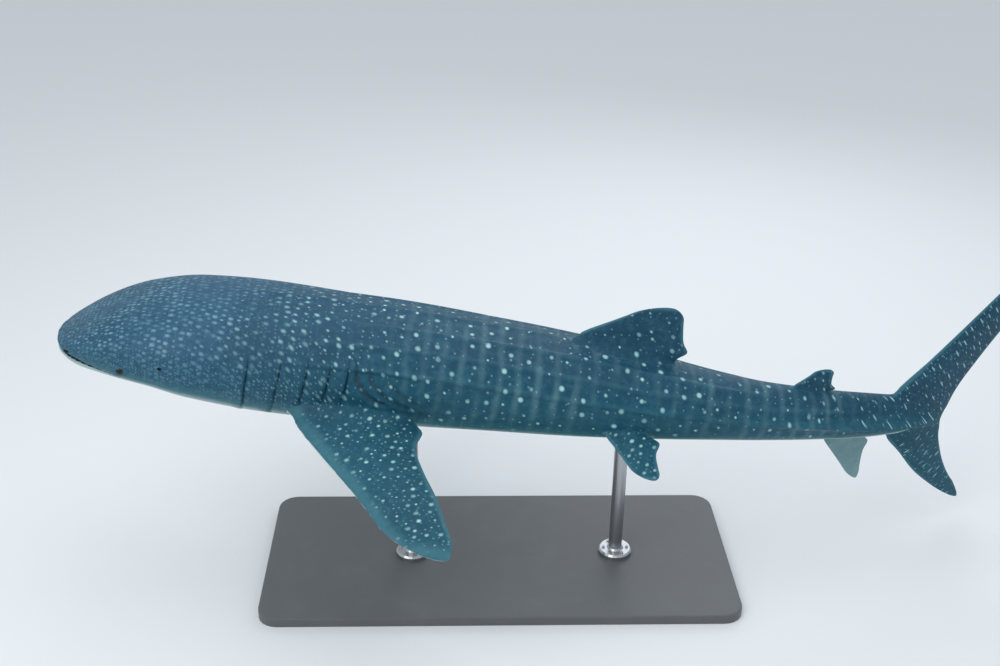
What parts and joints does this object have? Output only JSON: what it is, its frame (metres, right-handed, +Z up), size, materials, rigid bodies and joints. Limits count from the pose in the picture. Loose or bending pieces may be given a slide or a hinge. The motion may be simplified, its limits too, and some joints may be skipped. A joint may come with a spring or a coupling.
{
  "type": "whale shark",
  "caption": "Life-size still model of a spotted whale shark, swimming with its tail swung aside, held over a flat base on two rods.",
  "frame": {"origin": "centre of the stand base's underside, on the floor", "axes": "+X from the head towards the tail, +Y towards the shark's right side, +Z up"},
  "size_m": [6.127, 2.6728, 1.9732],
  "materials": {
    "shark_skin": "satin, slate blue with pale spots and bars, white below",
    "eye": "polished, near black",
    "stand_paint": "satin dark grey paint",
    "rod_steel": "brushed"
  },
  "bodies": {
    "root": {"head": "shark_skin", "lower_jaw": "shark_skin", "eye_left": "eye", "eye_right": "eye", "gill_region": "shark_skin", "torso": "shark_skin", "torso_rear": "shark_skin", "tail_stalk": "shark_skin", "pectoral_fin_left": "shark_skin", "pectoral_fin_right": "shark_skin", "first_dorsal_fin": "shark_skin", "second_dorsal_fin": "shark_skin", "pelvic_fin_left": "shark_skin", "pelvic_fin_right": "shark_skin", "anal_fin": "shark_skin", "caudal_fin_upper": "shark_skin", "caudal_fin_lower": "shark_skin", "stand_base": "stand_paint", "stand_rod_front": "rod_steel", "stand_rod_rear": "rod_steel"}
  },
  "joints": []
}
